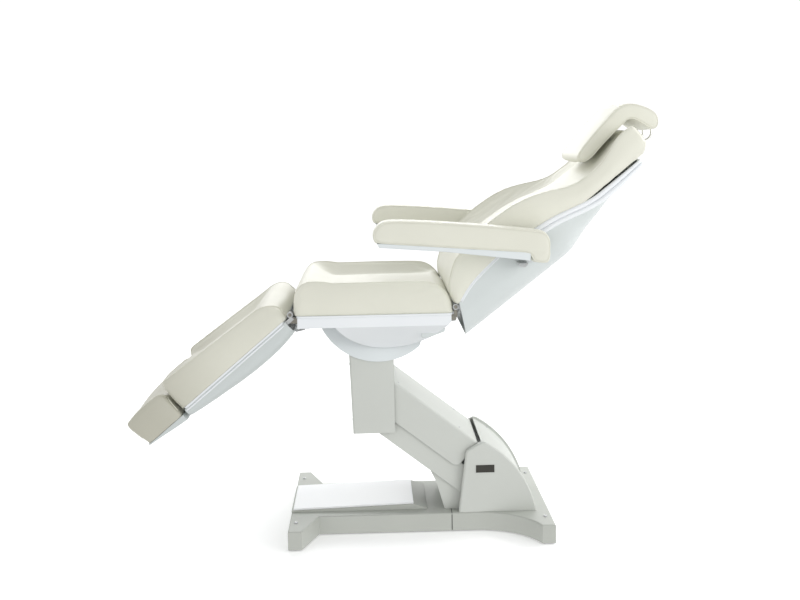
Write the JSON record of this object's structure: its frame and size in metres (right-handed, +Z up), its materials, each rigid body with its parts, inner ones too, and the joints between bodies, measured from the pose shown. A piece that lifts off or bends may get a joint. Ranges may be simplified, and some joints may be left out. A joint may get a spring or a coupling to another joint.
{
  "type": "beauty treatment couch",
  "caption": "Motorised beauty treatment couch: padded seat, back, leg rest and foot extension with fold-up armrests on a parallelogram lift base.",
  "frame": {"origin": "on the floor, midway between the foot pads of the base", "axes": "+X along the couch towards the head end, +Y towards the sitter's right-hand armrest, +Z up"},
  "size_m": [1.6281, 0.848, 1.3326],
  "materials": {
    "upholstery": "smooth ivory leatherette",
    "shell_white": "satin white moulding",
    "trim_white": "smooth white edging",
    "frame_steel": "grey-white powder coat",
    "bright_steel": "ground",
    "hinge_steel": "darkened",
    "bail_chrome": "bright",
    "drive_grey": "matt",
    "dark_plastic": "matt",
    "pad_rubber": "matt"
  },
  "bodies": {
    "base": {"base_chassis": "frame_steel", "foot_pads": "pad_rubber", "cover_screws": "bright_steel", "front_base_cover": "shell_white", "rear_base_cover": "shell_white", "mains_inlet": "dark_plastic", "ramp_body": "shell_white", "ramp_lid": "shell_white", "hood_cheek_left": "shell_white", "hood_cheek_right": "shell_white", "hood_back_cover": "shell_white", "hood_apron": "shell_white", "badge_plate": "dark_plastic", "pivot_brackets": "frame_steel", "rear_pivot_pins": "bright_steel", "lift_actuator": "drive_grey", "control_box": "dark_plastic"},
    "lift_rod": {"lift_rod": "bright_steel"},
    "lower_arm": {"lower_link": "frame_steel", "lower_arm_cover": "shell_white"},
    "upper_arm": {"upper_link": "frame_steel", "upper_arm_cover": "shell_white"},
    "column": {"column_frame": "frame_steel", "tilt_axles": "bright_steel", "front_pivot_pins": "bright_steel", "column_cover": "shell_white", "tilt_head_cover": "shell_white", "tilt_actuator": "drive_grey"},
    "tilt_rod": {"tilt_rod": "bright_steel"},
    "seat": {"seat_frame": "frame_steel", "seat_pan": "shell_white", "seat_rear_block": "dark_plastic", "seat_trim": "trim_white", "seat_cushion": "upholstery", "leg_hinge_pins": "hinge_steel", "back_hinge_pins": "hinge_steel", "back_actuator": "drive_grey", "leg_actuator": "drive_grey"},
    "back_rod": {"back_rod": "bright_steel"},
    "leg_rod": {"leg_rod": "bright_steel"},
    "back": {"back_frame": "frame_steel", "back_shell": "shell_white", "back_trim": "trim_white", "back_cushion": "upholstery", "arm_pivot_pins": "bright_steel"},
    "pillow": {"pillow_cushion": "upholstery", "pillow_bail": "bail_chrome"},
    "arm_left": {"arm_base_left": "shell_white", "arm_pad_left": "upholstery"},
    "arm_right": {"arm_base_right": "shell_white", "arm_pad_right": "upholstery"},
    "leg": {"leg_frame": "frame_steel", "leg_shell": "shell_white", "leg_trim": "trim_white", "leg_cushion": "upholstery"},
    "foot": {"foot_tray": "shell_white", "foot_rails": "bright_steel", "foot_cushion": "upholstery"}
  },
  "joints": [
    {"name": "lift", "type": "hinge", "parent": "base", "child": "lower_arm", "pos_m": [0.215, 0, 0.13], "axis": [0, 1, 0], "range_deg": [-32, 4]},
    {"name": "upper_link", "type": "hinge", "parent": "base", "child": "upper_arm", "pos_m": [0.215, 0, 0.215], "axis": [0, 1, 0], "range_deg": [-32, 4]},
    {"name": "column_level", "type": "hinge", "parent": "lower_arm", "child": "column", "pos_m": [-0.13961, 0, 0.40705], "axis": [0, 1, 0], "range_deg": [-4, 32]},
    {"name": "lift_spindle", "type": "slide", "parent": "base", "child": "lift_rod", "axis": [-1, 0, 0], "range_m": [-0.05093, 0.00645]},
    {"name": "tilt", "type": "hinge", "parent": "column", "child": "seat", "pos_m": [-0.1146, 0, 0.69005], "axis": [0, 1, 0], "range_deg": [0, 12]},
    {"name": "tilt_spindle", "type": "slide", "parent": "column", "child": "tilt_rod", "axis": [-1, 0, 0], "range_m": [0, 0.01481]},
    {"name": "back_recline", "type": "hinge", "parent": "seat", "child": "back", "pos_m": [0.11239, 0, 0.74005], "axis": [0, -1, 0], "range_deg": [-36, 22]},
    {"name": "back_spindle", "type": "slide", "parent": "seat", "child": "back_rod", "axis": [1, 0, 0], "range_m": [-0.05377, 0.0329]},
    {"name": "leg_raise", "type": "hinge", "parent": "seat", "child": "leg", "pos_m": [-0.3826, 0, 0.72705], "axis": [0, 1, 0], "range_deg": [-15, 38]},
    {"name": "leg_spindle", "type": "slide", "parent": "seat", "child": "leg_rod", "axis": [-1, 0, 0], "range_m": [-0.01844, 0.04657]},
    {"name": "foot_slide", "type": "slide", "parent": "leg", "child": "foot", "axis": [-0.766, 0, -0.6428], "range_m": [0, 0.14]},
    {"name": "pillow_slide", "type": "slide", "parent": "back", "child": "pillow", "axis": [0.788, 0, 0.6157], "range_m": [0, 0.05]},
    {"name": "arm_left_fold", "type": "hinge", "parent": "back", "child": "arm_left", "pos_m": [0.33562, 0, 0.89288], "axis": [0, 1, 0], "range_deg": [0, 95]},
    {"name": "arm_right_fold", "type": "hinge", "parent": "back", "child": "arm_right", "pos_m": [0.33562, 0, 0.89288], "axis": [0, 1, 0], "range_deg": [0, 95]}
  ],
  "couplings": [
    {"joint": "upper_link", "follows": "lift", "ratio": 1},
    {"joint": "column_level", "follows": "lift", "ratio": -1},
    {"joint": "lift_spindle", "follows": "lift", "m_per_rad": 0.091014},
    {"joint": "tilt_spindle", "follows": "tilt", "m_per_rad": 0.070257},
    {"joint": "back_spindle", "follows": "back_recline", "m_per_rad": 0.085422},
    {"joint": "leg_spindle", "follows": "leg_raise", "m_per_rad": 0.070069}
  ]
}
